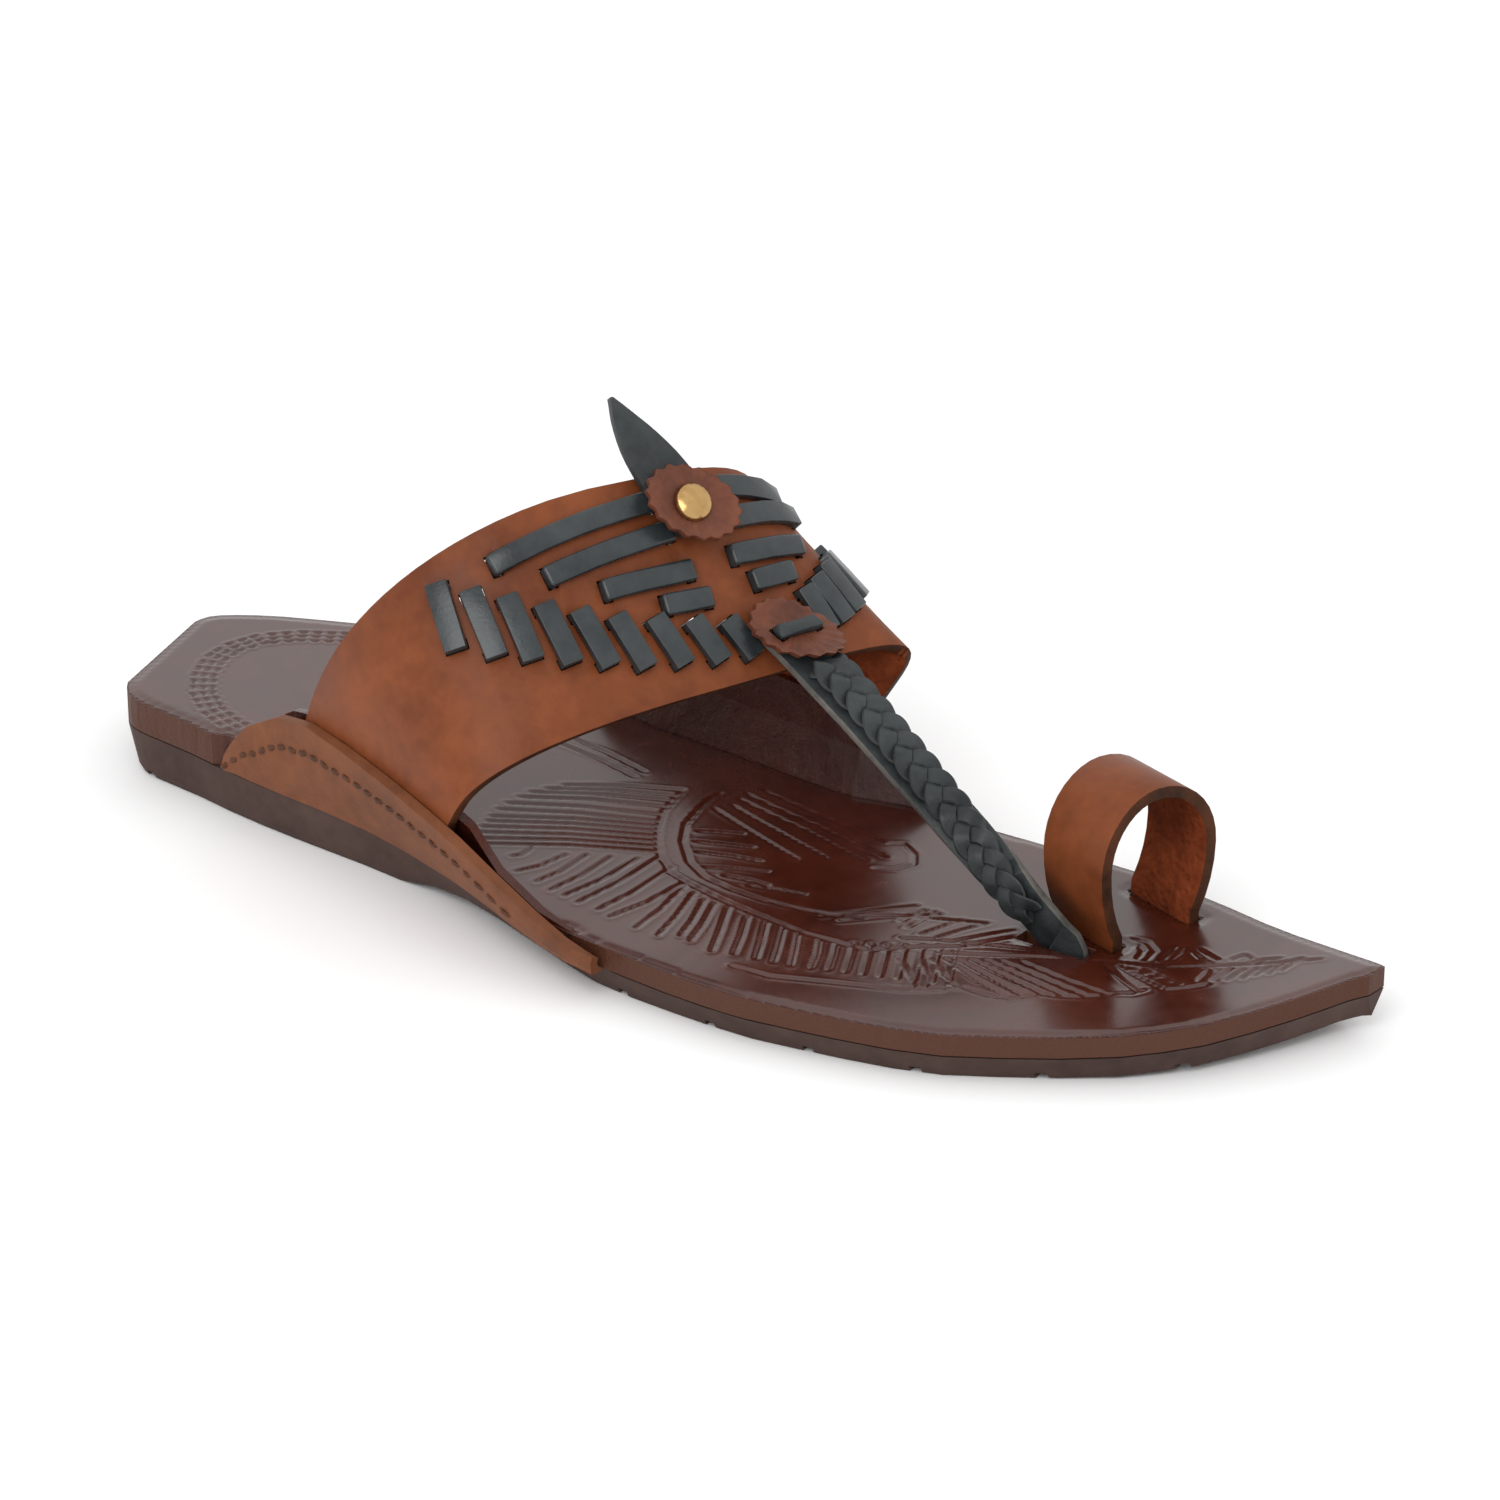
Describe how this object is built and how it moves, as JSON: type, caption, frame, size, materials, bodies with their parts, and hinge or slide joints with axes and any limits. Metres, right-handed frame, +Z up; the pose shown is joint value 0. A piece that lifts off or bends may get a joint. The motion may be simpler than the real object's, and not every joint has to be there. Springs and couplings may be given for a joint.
{
  "type": "kolhapuri chappal",
  "caption": "Right kolhapuri sandal: rubber sole, leather insole with raised ears, laced instep band, rosettes, braided toe thong and big-toe ring.",
  "frame": {"origin": "on the floor under the middle of the heel seat, 32 mm ahead of the heel's back", "axes": "+X to the toe, +Y to the inner (big toe) side of the foot, +Z up; it stands on z = 0"},
  "size_m": [0.2873, 0.1026, 0.0961],
  "materials": {
    "brown_rubber": "matt moulded dark brown rubber",
    "glazed_insole_leather": "glossy glazed dark red-brown leather",
    "tan_band_leather": "smooth satin tan leather",
    "pale_ear_leather": "oiled tan leather with a raw edge",
    "black_thong_leather": "satin black leather",
    "rosette_leather": "dull red-brown leather",
    "brass": "hammered brass"
  },
  "bodies": {
    "root": {"outsole": "brown_rubber", "insole": "glazed_insole_leather", "ear_lateral": "pale_ear_leather", "ear_medial": "pale_ear_leather", "instep_band": "tan_band_leather", "toe_ring": "tan_band_leather", "rosette_upper": "rosette_leather", "rosette_lower": "rosette_leather", "rivet": "brass", "tail": "black_thong_leather", "thong_strap": "black_thong_leather", "thong_braid": "black_thong_leather", "rosette_tie": "black_thong_leather", "lacing_lateral": "black_thong_leather", "lacing_medial": "black_thong_leather", "lacing_row_1_lateral": "black_thong_leather", "lacing_row_1_medial": "black_thong_leather", "lacing_row_2_lateral": "black_thong_leather", "lacing_row_2_medial": "black_thong_leather", "lacing_row_3_lateral": "black_thong_leather", "lacing_row_3_medial": "black_thong_leather", "lacing_row_4_lateral": "black_thong_leather", "lacing_row_4_medial": "black_thong_leather"}
  },
  "joints": []
}
